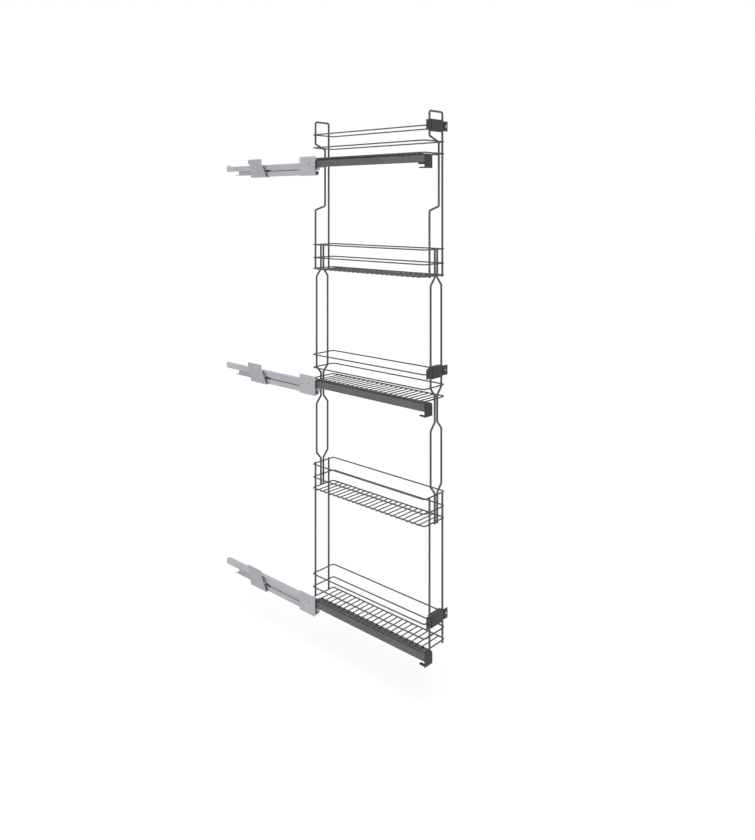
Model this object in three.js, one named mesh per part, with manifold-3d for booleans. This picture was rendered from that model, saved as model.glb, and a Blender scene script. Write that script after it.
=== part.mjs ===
// Tall side-mounted larder pull-out for a narrow kitchen cabinet, in millimetres, +Z up, shown pulled out.
// X runs from the cabinet's side wall into the cabinet, +Y from the door to the back, and the origin is the
// middle of the lower front wall bracket's face against the wall.

import * as THREE from 'three';
import { mergeVertices } from 'three/addons/utils/BufferGeometryUtils.js';
import Module from 'manifold-3d';

const wasm = await Module();
wasm.setup();

// ---------------------------------------------------------------- driving dimensions

// cabinet and baskets
const OPENING_WIDTH = 114; // clear width inside the cabinet, with the baskets in its middle
const BASKET_WIDTH = 98; // between centres of a ring's long wires
const BASKET_LENGTH = 487; // between centres of a ring's end wires
const BASKET_CORNER_RADIUS = 8;
const BASKET_PITCH = 372.3; // height from one basket to the next
const BASKET_COUNT = 5;
const MIDDLE_RING_RISE = 36.4; // above the bottom ring
const UPPER_RING_RISE = 80.4;
const RING_WIRE = 4;
const FLOOR_WIRE = 3;
const FLOOR_WIRE_PITCH = 20.9;
const FLOOR_WIRE_END_MARGIN = 20; // least distance from a floor wire to a ring's end wire
const FLOOR_WIRE_SHIFT = 2; // the row of floor wires sits this far behind the basket's middle
const FLOOR_WIRE_OVERHANG = 2.6; // past the ring's centre line
const WELD_BITE = 0.5; // how far two fused wires sink into each other

// end frames
const FRAME_WIRE = 6;
const WELD_GAP = 0.15; // between separate wires that touch
const POST_SPREAD = 31.3; // outer posts, from the middle of the unit
const NECK_SPREAD = 6; // middle frame's wires where they pass a basket or a slide
const WAIST_SPREAD = 26; // middle frame's wires between baskets
const HOOP_RISE = 45; // top of the hoop above the top basket's upper ring
const HOOP_CORNER_RADIUS = 6.5;
const NECK_RADIUS = 7;
const HOOP_JOG_X = 13.8; // near post where it passes the upper slide
const HOOP_JOG_START = 50.4; // above the top basket's bottom ring
const HOOP_JOG_DROP = 17.2;
const HOOP_JOG_END = 174.2; // below the top basket's bottom ring
const HOOP_JOG_RETURN = 13;
const POST_TAIL = 4.2; // a post reaches this far under the ring it ends at
const POST_HEAD = 2.3; // and this far above one
const NECK_FLARE = 23; // height of the bend between neck and waist
const NECK_TAIL = 4.9; // neck below a basket's bottom ring
const NECK_HEAD = 9.3; // neck above a basket's upper ring
const SLIDE_NECK_ABOVE = 12.4; // neck above the middle basket's bottom ring
const SLIDE_NECK_BELOW = 68.6;

// painted carriage rail under a basket
const CARRIAGE_WIDTH = 32;
const CARRIAGE_DEPTH = 22.2;
const CARRIAGE_FAR_DEPTH = 14.5;
const CARRIAGE_LENGTH = 476;
const CARRIAGE_SHEET = 1.2;
const CARRIAGE_OUTSET = 0.5; // near face past the ring's centre line
const CARRIAGE_INSET = 12; // from the basket's rear wire to the rail's rear end
const SEAT_GAP = 0.2; // between pieces fixed face to face
const RIB_RISE = 3.5; // pressed rib along the rail's top, which carries the floor wires
const RIB_WIDTH = 5;
const RIB_INSET = 13.4; // from the rail's near face
const WIRE_SLOT_LENGTH = 10.4; // across the rail, under a floor wire
const WIRE_SLOT_WIDTH = 6.5;
const WIRE_SLOT_INSET = 2; // from the rail's far face

// end plate with its hook
const END_PLATE_SHEET = 2;
const END_PLATE_WIDTH = 36.4;
const END_PLATE_OUTSET = 1.4; // near edge past the carriage rail's near face
const END_PLATE_RISE = 3.2; // its top above the carriage rail's top
const END_PLATE_HEIGHT = 42.2;
const END_PLATE_CORNER = 12; // radius of its far top corner
const END_PLATE_NEAR_CORNER = 3;
const HOOK_LENGTH = 25;
const HOOK_WIDTH = 8;
const HOOK_SHEET = 4;
const HOOK_POINT = 5; // length of its wedge-shaped tip
const FOOT_LENGTH = 45; // bar that stiffens the carriage rail's front end
const FOOT_WIDTH = 7.5;
const FOOT_HEIGHT = 12;
const FOOT_DROP = 3.6; // under the carriage rail's near edge

// cabinet rail: an upper track for the balls and a lower channel
const SKIRT_CLEARANCE = 0.5; // from the carriage rail's near wall to the track
const TRACK_LENGTH = 514.5;
const TRACK_WIDTH = 17;
const TRACK_HEIGHT = 18;
const TRACK_SHEET = 1.5;
const TRACK_LIP = 1.2;
const TRACK_CLEARANCE = 4.1; // under the carriage rail's roof
const CHANNEL_LENGTH = 275.5;
const CHANNEL_DEPTH = 24.1;
const CHANNEL_OUTSET = 1.7; // web past the track's near face
const CHANNEL_WIDTH = 12.5;
const CHANNEL_NECK = 3.5; // overlap of the channel's top under the track
const SLOT_HEIGHT = 3;
const SLOT_DROP = 5.2; // middle of the slot below the track
const SLOT_FRONT = 96.5; // from the rail's front end
const SLOT_MOUTH = 26; // the slot widens over this length to its open rear end
const SLOT_MOUTH_HEIGHT = 6;
const NOTCH_LENGTH = 21.5; // the channel's lower front corner is cut away
const NOTCH_DROP = 9.5; // below the track
const STOP_PLATE_INSET = 16.5; // plate on the channel's lip, from the rail's front end
const STOP_PLATE_LENGTH = 19;
const STOP_PLATE_DROP = 11; // its top below the track
const STOP_PLATE_CORNER = 3;
const STOP_TAB_LENGTH = 23;
const STOP_TAB_RISE = 5;
const STOP_TAB_INSET = 2;

// three-member ball slide
const BALL_GAP = 1.8; // between raceways
const BALL = 1.4;
const CAGE_SHEET = 0.5;
const MEMBER_SHEET = 1.2;
const MEMBER_LENGTH = 466;
const MEMBER_WIDTH = 12;
const RUNNER_SHEET = 1.4;
const RUNNER_REACH = 10.6; // flanges inside the intermediate rail
const RUNNER_FLANGE = 9.5; // under the carriage rail's roof, towards the wall
const RUNNER_CLEARANCE = 0.5; // from the track's mouth to the runner's web
const RUNNER_INSET = 4; // from the carriage rail's ends
const CAGE_LENGTH = 180;
const CAGE_WIDTH = 9.5;
const BALL_PITCH = 56;
const BALLS_PER_ROW = 3;
const OPEN_OVERLAP = 22.5; // carriage rail over the cabinet rail when pulled out
const CLOSED_GAP = 2; // from the end plate to the cabinet rail when pushed in
const MEMBER_INSET = 2; // intermediate rail behind the cabinet rail's front end when pushed in

// soft-close damper
const DAMPER_LENGTH = 157;
const DAMPER_WIDTH = 12;
const DAMPER_DEPTH = 16.4;
const DAMPER_SHEET = 1.8;
const DAMPER_TONGUE = 22;
const DAMPER_GAP = 5; // behind the channel's rear end
const DAMPER_NOSE = 185; // its guide reaches this far into the channel, behind the slot
const DAMPER_NOSE_INSET = 6; // from the housing's near face
const DAMPER_RELIEF = 2.6; // room above it for the rear bracket's shelf
const DAMPER_WALL = 1.6;

// wall brackets
const BRACKET_SHEET = 1.8;
const BRACKET_SEAT = 0.3; // between a bracket and the cabinet rail
const BRACKET_RISE = 20.5; // above the track
const BRACKET_LIP = 3;
const FRONT_BRACKET_LENGTH = 77;
const FRONT_BRACKET_INSET = 15.5; // behind the cabinet rail's front end
const BRACKET_FOOT = 18.5;
const BOSS_BASE_RADIUS = 6;
const BOSS_TOP_RADIUS = 3.5;
const BOSS_DROP = 13; // below the track
const BOSS_OFFSET = 22; // behind the bracket's middle
const PEG_HOLE_DROP = 5; // below the track's top
const PEG_HOLE_OFFSET = 8; // ahead of the bracket's middle
const FOOT_CUTBACK = 6.5; // the front bracket's foot starts behind its plate's front edge
const SCREW_HOLE_DIAMETER = 5.2;
const SCREW_SPACING = 32;
const SCREW_RISE = 9; // above the track
const REAR_BRACKET_OFFSET = 282.8; // from the front bracket's middle to the head's middle
const REAR_HEAD_LENGTH = 75.6;
const REAR_HEAD_HEIGHT = 16;
const REAR_HEAD_EXTRA = 1.2; // higher than the front bracket
const REAR_FOOT_LENGTH = 87;
const REAR_FOOT_SKEW = 29.3; // front of the foot ahead of the head
const SHELF_FRONT_INSET = 12; // shelf behind the foot's front
const SHELF_LENGTH = 60;

// door brackets
const DOOR_NEAR_REACH = 49; // from the middle of the unit
const DOOR_FAR_REACH = 52;
const DOOR_HEIGHT = 36.5;
const DOOR_LOBE_HEIGHT = 30;
const DOOR_RISE = 2.4; // above the upper ring
const DOOR_FACE_GAP = 1.5; // from the posts' front to the door
const DOOR_DEPTH = 14.4;
const DOOR_LOBE_SHEET = 3;
const DOOR_WEB = 3; // each side of a post
const DOOR_BRIDGE = 3.4; // behind a post
const POST_CLEARANCE = 0.3;
const DOOR_SLOT_LENGTH = 10;
const DOOR_SLOT_WIDTH = 4.6;
const DOOR_SHELF = 3; // top flange

// facets
const WIRE_SIDES = 6;
const FLOOR_WIRE_SIDES = 4;
const RING_SEGMENTS = 2;
const BEND_SEGMENTS = 2;
const CORNER_SEGMENTS = 4;
const ROUND_SIDES = 10;
const OVERCUT = 1; // how far a cutting body sticks out

// ---------------------------------------------------------------- places worked out from them

// A faceted wire keeps the round one's cross-section area: these are its corner and flat distances.
function facetRadius(diameter, sides = WIRE_SIDES) {
  const wedge = (2 * Math.PI) / sides;
  return (diameter / 2) * Math.sqrt(wedge / Math.sin(wedge));
}

const facetFlat = (diameter, sides = WIRE_SIDES) => facetRadius(diameter, sides) * Math.cos(Math.PI / sides);

const unitX = OPENING_WIDTH / 2;
const floorWireFlat = facetFlat(FLOOR_WIRE, FLOOR_WIRE_SIDES);
const floorWireDrop = facetFlat(RING_WIRE) + floorWireFlat - WELD_BITE;
const ribTop = -floorWireDrop - floorWireFlat - SEAT_GAP; // heights count from a basket's bottom ring
const carriageTop = ribTop - RIB_RISE;
const carriageRoof = carriageTop - CARRIAGE_SHEET;
const carriageNear = unitX - BASKET_WIDTH / 2 - CARRIAGE_OUTSET;
const trackNear = carriageNear + CARRIAGE_SHEET + SKIRT_CLEARANCE;
const trackFar = trackNear + TRACK_WIDTH;
const trackTop = carriageRoof - TRACK_CLEARANCE;
const trackBottom = trackTop - TRACK_HEIGHT;
const trackMiddle = (trackTop + trackBottom) / 2;
const channelNear = trackNear - CHANNEL_OUTSET;
const channelBottom = trackBottom - CHANNEL_DEPTH;
const bracketTop = trackTop + BRACKET_RISE;
const bracketBottom = channelBottom - BRACKET_SEAT - BRACKET_SHEET;
const bottomRing = -(bracketTop + bracketBottom) / 2; // height of the lowest basket's bottom ring

const trackFront = -FRONT_BRACKET_LENGTH / 2 - FRONT_BRACKET_INSET;
const travel = CARRIAGE_LENGTH - OPEN_OVERLAP - CLOSED_GAP;
const runnerLength = CARRIAGE_LENGTH - 2 * RUNNER_INSET;
const carriageFront = trackFront + OPEN_OVERLAP - CARRIAGE_LENGTH;
const carriageRear = carriageFront + CARRIAGE_LENGTH;
const basketRear = carriageRear + CARRIAGE_INSET;
const basketFront = basketRear - BASKET_LENGTH;
const basketMiddle = (basketRear + basketFront) / 2;
const frameOffset = facetRadius(RING_WIRE) + facetFlat(FRAME_WIRE) + WELD_GAP;
const frontFrame = basketFront - frameOffset;
const rearFrame = basketRear + frameOffset;

const basketHeight = (number) => bottomRing + (BASKET_COUNT - number) * BASKET_PITCH; // basket 1 is the top one
const middleNumber = Math.ceil(BASKET_COUNT / 2);
const slides = [
  { name: 'upper', basket: 1 },
  { name: 'middle', basket: middleNumber },
  { name: 'lower', basket: BASKET_COUNT },
];
const floorWireCount = Math.floor((BASKET_LENGTH - 2 * FLOOR_WIRE_END_MARGIN) / FLOOR_WIRE_PITCH) + 1;
const floorWireY = (i) => basketMiddle + FLOOR_WIRE_SHIFT + (i - (floorWireCount - 1) / 2) * FLOOR_WIRE_PITCH;

// ---------------------------------------------------------------- finishes

const finish = (color, metalness, roughness) => new THREE.MeshStandardMaterial({ color, metalness, roughness });
const paint = finish(0x4d4d4f, 0.2, 0.5);
const galvanised = finish(0xb4b3ba, 0.75, 0.4);
const darkPlastic = finish(0x47464a, 0, 0.55);
const greyPlastic = finish(0x98979c, 0, 0.5);
const steel = finish(0xa6a6aa, 0.9, 0.3);

// ---------------------------------------------------------------- helpers

const root = new THREE.Group();
root.name = 'larder_pull_out';

function add(name, geometry, material) {
  geometry.computeVertexNormals();
  const mesh = new THREE.Mesh(geometry, material);
  mesh.name = name;
  root.add(mesh);
}

function solid(geometry) {
  const bare = geometry.clone();
  bare.deleteAttribute('normal');
  bare.deleteAttribute('uv');
  const merged = mergeVertices(bare, 1e-4);
  const mesh = new wasm.Mesh({
    numProp: 3,
    vertProperties: new Float32Array(merged.attributes.position.array),
    triVerts: new Uint32Array(merged.index.array),
  });
  return new wasm.Manifold(mesh);
}

function geometryOf(manifold) {
  const mesh = manifold.getMesh();
  const geometry = new THREE.BufferGeometry();
  geometry.setAttribute('position', new THREE.BufferAttribute(new Float32Array(mesh.vertProperties), 3));
  geometry.setIndex(new THREE.BufferAttribute(new Uint32Array(mesh.triVerts), 1));
  return geometry;
}

// An upright box between two corners.
function block(x0, x1, y0, y1, z0, z1) {
  const box = new THREE.BoxGeometry(x1 - x0, y1 - y0, z1 - z0);
  box.translate((x0 + x1) / 2, (y0 + y1) / 2, (z0 + z1) / 2);
  return solid(box);
}

// A profile of [x, z] points run along Y.
function alongY(points, y0, y1) {
  const shape = new THREE.Shape(points.map(([x, z]) => new THREE.Vector2(x, z)));
  const geometry = new THREE.ExtrudeGeometry(shape, { depth: y1 - y0, bevelEnabled: false });
  geometry.rotateX(Math.PI / 2);
  geometry.translate(0, y1, 0);
  return solid(geometry);
}

// An outline of [y, z] points run along X.
function alongX(points, x0, x1) {
  const shape = new THREE.Shape(points.map(([y, z]) => new THREE.Vector2(y, z)));
  const geometry = new THREE.ExtrudeGeometry(shape, { depth: x1 - x0, bevelEnabled: false });
  const turn = new THREE.Matrix4().set(0, 0, 1, x0, 1, 0, 0, 0, 0, 1, 0, 0, 0, 0, 0, 1);
  geometry.applyMatrix4(turn);
  return solid(geometry);
}

// A round peg or cutter whose axis runs along X.
function pegX(x0, x1, y, z, radius0, radius1) {
  const peg = new THREE.CylinderGeometry(radius1, radius0, x1 - x0, ROUND_SIDES);
  peg.rotateZ(-Math.PI / 2);
  peg.translate((x0 + x1) / 2, y, z);
  return solid(peg);
}

// A round-ended slot cutter along Z, cut through in Y.
function slotY(x, z, length, width, y0, y1) {
  const half = length / 2 - width / 2;
  const shape = new THREE.Shape();
  shape.absarc(x, z + half, width / 2, 0, Math.PI, false);
  shape.absarc(x, z - half, width / 2, Math.PI, 2 * Math.PI, false);
  const geometry = new THREE.ExtrudeGeometry(shape, { depth: y1 - y0, bevelEnabled: false, curveSegments: 3 });
  geometry.rotateX(Math.PI / 2);
  geometry.translate(0, y1, 0);
  return solid(geometry);
}

// Corner points of a bent wire, with each inner corner rounded to a radius.
function bend(points, radius, segments, closed) {
  const path = [];
  const count = points.length;
  for (let i = 0; i < count; i += 1) {
    const here = points[i];
    if (!closed && (i === 0 || i === count - 1)) {
      path.push(here.clone());
      continue;
    }
    const before = points[(i + count - 1) % count].clone().sub(here);
    const after = points[(i + 1) % count].clone().sub(here);
    const angle = before.angleTo(after);
    const reach = radius / Math.tan(angle / 2);
    const start = here.clone().addScaledVector(before.normalize(), reach);
    const end = here.clone().addScaledVector(after.normalize(), reach);
    const towards = before.clone().add(after).normalize();
    const centre = here.clone().addScaledVector(towards, radius / Math.sin(angle / 2));
    const sweep = Math.PI - angle;
    const u = start.clone().sub(centre);
    const v = end.clone().sub(centre);
    for (let k = 0; k <= segments; k += 1) {
      const t = k / segments;
      const a = Math.sin((1 - t) * sweep) / Math.sin(sweep);
      const b = Math.sin(t * sweep) / Math.sin(sweep);
      path.push(centre.clone().addScaledVector(u, a).addScaledVector(v, b));
    }
  }
  return path;
}

// A faceted wire swept along a flat path, mitred at each point.
function wire(path, diameter, sides, flatNormal, closed) {
  const radius = facetRadius(diameter, sides);
  const positions = [];
  const index = [];
  const count = path.length;
  for (let i = 0; i < count; i += 1) {
    const before = closed || i > 0 ? path[(i + count - 1) % count] : null;
    const after = closed || i < count - 1 ? path[(i + 1) % count] : null;
    const into = (before ? path[i].clone().sub(before) : after.clone().sub(path[i])).normalize();
    const out = (after ? after.clone().sub(path[i]) : path[i].clone().sub(before)).normalize();
    const tangent = into.clone().add(out).normalize();
    const side = new THREE.Vector3().crossVectors(flatNormal, tangent);
    const stretch = 1 / tangent.dot(into);
    for (let k = 0; k < sides; k += 1) {
      const turn = Math.PI / 2 + ((2 * k - 1) * Math.PI) / sides;
      const point = path[i].clone();
      point.addScaledVector(side, radius * Math.cos(turn) * stretch);
      point.addScaledVector(flatNormal, radius * Math.sin(turn));
      positions.push(point.x, point.y, point.z);
    }
  }
  const spans = closed ? count : count - 1;
  for (let i = 0; i < spans; i += 1) {
    const a = i * sides;
    const b = ((i + 1) % count) * sides;
    for (let k = 0; k < sides; k += 1) {
      const next = (k + 1) % sides;
      index.push(a + k, b + k, b + next, a + k, b + next, a + next);
    }
  }
  if (!closed) {
    const last = (count - 1) * sides;
    for (let k = 1; k < sides - 1; k += 1) {
      index.push(0, k, k + 1, last, last + k + 1, last + k);
    }
  }
  const geometry = new THREE.BufferGeometry();
  geometry.setAttribute('position', new THREE.Float32BufferAttribute(positions, 3));
  geometry.setIndex(index);
  const manifold = solid(geometry);
  if (manifold.volume() > 0) return manifold;
  geometry.setIndex(index.reverse());
  return solid(geometry);
}

// ---------------------------------------------------------------- baskets

const up = new THREE.Vector3(0, 0, 1);
const inward = new THREE.Vector3(0, 1, 0);

function ring(height) {
  const near = unitX - BASKET_WIDTH / 2;
  const far = unitX + BASKET_WIDTH / 2;
  const corners = [
    new THREE.Vector3(near, basketFront, height),
    new THREE.Vector3(far, basketFront, height),
    new THREE.Vector3(far, basketRear, height),
    new THREE.Vector3(near, basketRear, height),
  ];
  return wire(bend(corners, BASKET_CORNER_RADIUS, RING_SEGMENTS, true), RING_WIRE, WIRE_SIDES, up, true);
}

for (let number = 1; number <= BASKET_COUNT; number += 1) {
  const height = basketHeight(number);
  const reach = BASKET_WIDTH / 2 + FLOOR_WIRE_OVERHANG;
  const rods = [];
  for (let i = 0; i < floorWireCount; i += 1) {
    const ends = [
      new THREE.Vector3(unitX - reach, floorWireY(i), height - floorWireDrop),
      new THREE.Vector3(unitX + reach, floorWireY(i), height - floorWireDrop),
    ];
    rods.push(wire(ends, FLOOR_WIRE, FLOOR_WIRE_SIDES, up, false));
  }
  add(`basket_${number}_floor`, geometryOf(wasm.Manifold.union([ring(height), ...rods])), paint);
  add(`basket_${number}_middle_ring`, geometryOf(ring(height + MIDDLE_RING_RISE)), paint);
  add(`basket_${number}_upper_ring`, geometryOf(ring(height + UPPER_RING_RISE)), paint);
}

// ---------------------------------------------------------------- end frames

const topBasket = basketHeight(1);
const hoopTop = topBasket + UPPER_RING_RISE + HOOP_RISE;
const hoopFoot = basketHeight(2) - POST_TAIL;
const middleBasket = basketHeight(middleNumber);
const middleHead = basketHeight(2) + UPPER_RING_RISE + POST_HEAD;
const middleFoot = basketHeight(BASKET_COUNT - 1) - POST_TAIL;
const lowerHead = basketHeight(BASKET_COUNT - 1) + UPPER_RING_RISE + POST_HEAD;
const lowerFoot = basketHeight(BASKET_COUNT) - POST_TAIL;

function frameWire(points, y) {
  return points.map(([x, z]) => new THREE.Vector3(unitX + x, y, z));
}

function hoop(y) {
  const corners = frameWire([
    [-POST_SPREAD, hoopFoot],
    [-POST_SPREAD, topBasket - HOOP_JOG_END],
    [HOOP_JOG_X, topBasket - HOOP_JOG_END + HOOP_JOG_RETURN],
    [HOOP_JOG_X, topBasket + HOOP_JOG_START - HOOP_JOG_DROP],
    [-POST_SPREAD, topBasket + HOOP_JOG_START],
    [-POST_SPREAD, hoopTop],
    [POST_SPREAD, hoopTop],
    [POST_SPREAD, hoopFoot],
  ], y);
  return wire(bend(corners, HOOP_CORNER_RADIUS, BEND_SEGMENTS, false), FRAME_WIRE, WIRE_SIDES, inward, false);
}

function middleWire(side, y) {
  const upperNeckFoot = basketHeight(2) - NECK_TAIL;
  const lowerNeckHead = basketHeight(BASKET_COUNT - 1) + UPPER_RING_RISE + NECK_HEAD;
  const corners = frameWire([
    [side * NECK_SPREAD, middleHead],
    [side * NECK_SPREAD, upperNeckFoot],
    [side * WAIST_SPREAD, upperNeckFoot - NECK_FLARE],
    [side * WAIST_SPREAD, middleBasket + SLIDE_NECK_ABOVE + NECK_FLARE],
    [side * NECK_SPREAD, middleBasket + SLIDE_NECK_ABOVE],
    [side * NECK_SPREAD, middleBasket - SLIDE_NECK_BELOW],
    [side * WAIST_SPREAD, middleBasket - SLIDE_NECK_BELOW - NECK_FLARE],
    [side * WAIST_SPREAD, lowerNeckHead + NECK_FLARE],
    [side * NECK_SPREAD, lowerNeckHead],
    [side * NECK_SPREAD, middleFoot],
  ], y);
  return wire(bend(corners, NECK_RADIUS, BEND_SEGMENTS, false), FRAME_WIRE, WIRE_SIDES, inward, false);
}

function lowerPost(side, y) {
  const ends = frameWire([
    [side * POST_SPREAD, lowerHead],
    [side * POST_SPREAD, lowerFoot],
  ], y);
  return wire(ends, FRAME_WIRE, WIRE_SIDES, inward, false);
}

for (const [end, y] of [['front', frontFrame], ['rear', rearFrame]]) {
  add(`upper_${end}_hoop`, geometryOf(hoop(y)), paint);
  for (const [sideName, side] of [['near', -1], ['far', 1]]) {
    add(`middle_${end}_${sideName}_wire`, geometryOf(middleWire(side, y)), paint);
    add(`lower_${end}_${sideName}_post`, geometryOf(lowerPost(side, y)), paint);
  }
}

// ---------------------------------------------------------------- cabinet rail and its brackets

// The track's C, open away from the wall, with a stepped-out channel hanging below it.
function cabinetRail() {
  const s = TRACK_SHEET;
  const lip = TRACK_SHEET + TRACK_LIP;
  const track = alongY([
    [trackNear, trackTop],
    [trackNear, trackBottom],
    [trackFar, trackBottom],
    [trackFar, trackBottom + lip],
    [trackFar - s, trackBottom + lip],
    [trackFar - s, trackBottom + s],
    [trackNear + s, trackBottom + s],
    [trackNear + s, trackTop - s],
    [trackFar - s, trackTop - s],
    [trackFar - s, trackTop - lip],
    [trackFar, trackTop - lip],
    [trackFar, trackTop],
  ], trackFront, trackFront + TRACK_LENGTH);
  const joggle = trackBottom + s / 2; // the two share half a sheet's thickness
  const channel = alongY([
    [channelNear, joggle - s],
    [channelNear, channelBottom],
    [channelNear + CHANNEL_WIDTH, channelBottom],
    [channelNear + CHANNEL_WIDTH, channelBottom + s],
    [channelNear + s, channelBottom + s],
    [channelNear + s, trackBottom - s],
    [trackNear + CHANNEL_NECK, trackBottom - s],
    [trackNear + CHANNEL_NECK, joggle],
    [trackNear + s / 2, joggle],
    [trackNear + s / 2, joggle - s / 2],
    [channelNear, trackBottom],
  ], trackFront, trackFront + CHANNEL_LENGTH);
  const channelRear = trackFront + CHANNEL_LENGTH;
  const slotTop = trackBottom - SLOT_DROP + SLOT_HEIGHT / 2;
  const slot = alongX([
    [trackFront + SLOT_FRONT, slotTop - SLOT_HEIGHT],
    [channelRear - SLOT_MOUTH, slotTop - SLOT_HEIGHT],
    [channelRear, slotTop - SLOT_MOUTH_HEIGHT],
    [channelRear + OVERCUT, slotTop - SLOT_MOUTH_HEIGHT],
    [channelRear + OVERCUT, slotTop],
    [trackFront + SLOT_FRONT, slotTop],
  ], channelNear - OVERCUT, channelNear + s + OVERCUT);
  const notch = block(
    channelNear - OVERCUT, channelNear + CHANNEL_WIDTH + OVERCUT,
    trackFront - OVERCUT, trackFront + NOTCH_LENGTH,
    channelBottom - OVERCUT, trackBottom - NOTCH_DROP,
  );
  const lipFar = channelNear + CHANNEL_WIDTH;
  const plateFront = trackFront + STOP_PLATE_INSET;
  const plateRear = plateFront + STOP_PLATE_LENGTH;
  const plateTop = trackBottom - STOP_PLATE_DROP;
  const stopPlate = alongX([
    [plateFront, channelBottom + STOP_PLATE_CORNER],
    [plateFront + STOP_PLATE_CORNER, channelBottom],
    [plateRear, channelBottom],
    [plateRear, plateTop - STOP_PLATE_CORNER],
    [plateRear - STOP_PLATE_CORNER, plateTop],
    [plateFront + STOP_PLATE_CORNER, plateTop],
    [plateFront, plateTop - STOP_PLATE_CORNER],
  ], lipFar - s, lipFar);
  const trackRear = trackFront + TRACK_LENGTH;
  const stop = alongX([
    [trackRear - STOP_TAB_INSET - STOP_TAB_LENGTH, trackTop - s],
    [trackRear - STOP_TAB_INSET, trackTop - s],
    [trackRear - STOP_TAB_INSET, trackTop + STOP_TAB_RISE],
    [trackRear - STOP_TAB_INSET - STOP_TAB_LENGTH / 2, trackTop + STOP_TAB_RISE],
    [trackRear - STOP_TAB_INSET - STOP_TAB_LENGTH, trackTop + s],
  ], trackNear, trackNear + s);
  return track.add(channel.subtract(notch)).add(stop).add(stopPlate).subtract(slot);
}

// A dimple pressed from a bracket's plate to the rail.
function boss(y, z, reach) {
  return pegX(BRACKET_SHEET / 2, reach - BRACKET_SEAT, y, z, BOSS_BASE_RADIUS, BOSS_TOP_RADIUS);
}

function screwHole(y, z) {
  const radius = SCREW_HOLE_DIAMETER / 2;
  return pegX(-OVERCUT, BRACKET_SHEET + OVERCUT, y, z, radius, radius);
}

function frontBracket() {
  const half = FRONT_BRACKET_LENGTH / 2;
  const s = BRACKET_SHEET;
  const sheet = alongY([
    [0, bracketTop],
    [0, bracketBottom],
    [BRACKET_FOOT, bracketBottom],
    [BRACKET_FOOT, bracketBottom + s],
    [s, bracketBottom + s],
    [s, bracketTop - s],
    [BRACKET_LIP, bracketTop - s],
    [BRACKET_LIP, bracketTop],
  ], -half, half);
  const holeHeight = trackTop + SCREW_RISE;
  const footCut = block(
    s, BRACKET_FOOT + OVERCUT, -half - OVERCUT, -half + FOOT_CUTBACK,
    bracketBottom - OVERCUT, bracketBottom + s + BRACKET_SEAT / 2,
  );
  return sheet
    .add(boss(BOSS_OFFSET, trackBottom - BOSS_DROP, channelNear))
    .subtract(footCut)
    .subtract(screwHole(-PEG_HOLE_OFFSET, trackTop - PEG_HOLE_DROP))
    .subtract(screwHole(-SCREW_SPACING / 2, holeHeight))
    .subtract(screwHole(SCREW_SPACING / 2, holeHeight));
}

function rearBracket() {
  const s = BRACKET_SHEET;
  const top = bracketTop + REAR_HEAD_EXTRA;
  const headFront = REAR_BRACKET_OFFSET - REAR_HEAD_LENGTH / 2;
  const headRear = REAR_BRACKET_OFFSET + REAR_HEAD_LENGTH / 2;
  const footFront = headFront - REAR_FOOT_SKEW;
  const footRear = footFront + REAR_FOOT_LENGTH;
  const headFoot = top - REAR_HEAD_HEIGHT;
  const plate = alongX([
    [footFront, bracketBottom],
    [footRear, bracketBottom],
    [footRear + REAR_FOOT_SKEW / 3, headFoot],
    [headRear, headFoot],
    [headRear, top],
    [headFront, top],
    [headFront, headFoot],
  ], 0, s);
  const lip = block(0, BRACKET_LIP, headFront, headRear, top - s, top);
  const foot = block(0, BRACKET_FOOT, footFront, footRear, bracketBottom, bracketBottom + s);
  const shelfFront = footFront + SHELF_FRONT_INSET;
  const shelfTop = trackBottom - BRACKET_SEAT;
  const shelf = block(s / 2, trackFar, shelfFront, shelfFront + SHELF_LENGTH, shelfTop - s, shelfTop);
  const holeHeight = trackTop + SCREW_RISE;
  return plate
    .add(lip)
    .add(foot)
    .add(shelf)
    .subtract(screwHole(REAR_BRACKET_OFFSET - SCREW_SPACING / 2, holeHeight))
    .subtract(screwHole(REAR_BRACKET_OFFSET + SCREW_SPACING / 2, holeHeight));
}

// A hollow housing under the track, relieved over the rear bracket's shelf, with a guide in the channel ahead
// of it and a pointed tongue behind.
function damper() {
  const front = trackFront + CHANNEL_LENGTH + DAMPER_GAP;
  const rear = front + DAMPER_LENGTH;
  const top = trackBottom - SEAT_GAP;
  const bottom = trackBottom - SEAT_GAP - DAMPER_DEPTH;
  const headFront = REAR_BRACKET_OFFSET - REAR_HEAD_LENGTH / 2;
  const shelfRear = headFront - REAR_FOOT_SKEW + SHELF_FRONT_INSET + SHELF_LENGTH;
  const near = channelNear;
  const far = channelNear + DAMPER_WIDTH;
  const body = alongX([
    [front, bottom],
    [rear, bottom],
    [rear, top],
    [shelfRear + DAMPER_GAP, top],
    [shelfRear + DAMPER_GAP, top - DAMPER_RELIEF],
    [front, top - DAMPER_RELIEF],
  ], near, far);
  const tongue = new THREE.Shape([
    new THREE.Vector2(near, rear - DAMPER_WALL),
    new THREE.Vector2(far, rear - DAMPER_WALL),
    new THREE.Vector2(far, rear),
    new THREE.Vector2(near + DAMPER_WALL, rear + DAMPER_TONGUE),
    new THREE.Vector2(near, rear + DAMPER_TONGUE),
  ]);
  const plate = new THREE.ExtrudeGeometry(tongue, { depth: DAMPER_SHEET, bevelEnabled: false });
  plate.translate(0, 0, bottom);
  const recess = block(
    near - OVERCUT, near + DAMPER_WALL,
    front + DAMPER_GAP, rear - DAMPER_WALL,
    bottom + DAMPER_SHEET, top - DAMPER_RELIEF - DAMPER_WALL,
  );
  const nose = block(
    near + DAMPER_NOSE_INSET, far, front - DAMPER_GAP - DAMPER_NOSE, front + DAMPER_GAP,
    bottom, top - DAMPER_RELIEF,
  );
  return body.add(solid(plate)).subtract(recess).add(nose);
}

// ---------------------------------------------------------------- moving slide members

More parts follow.
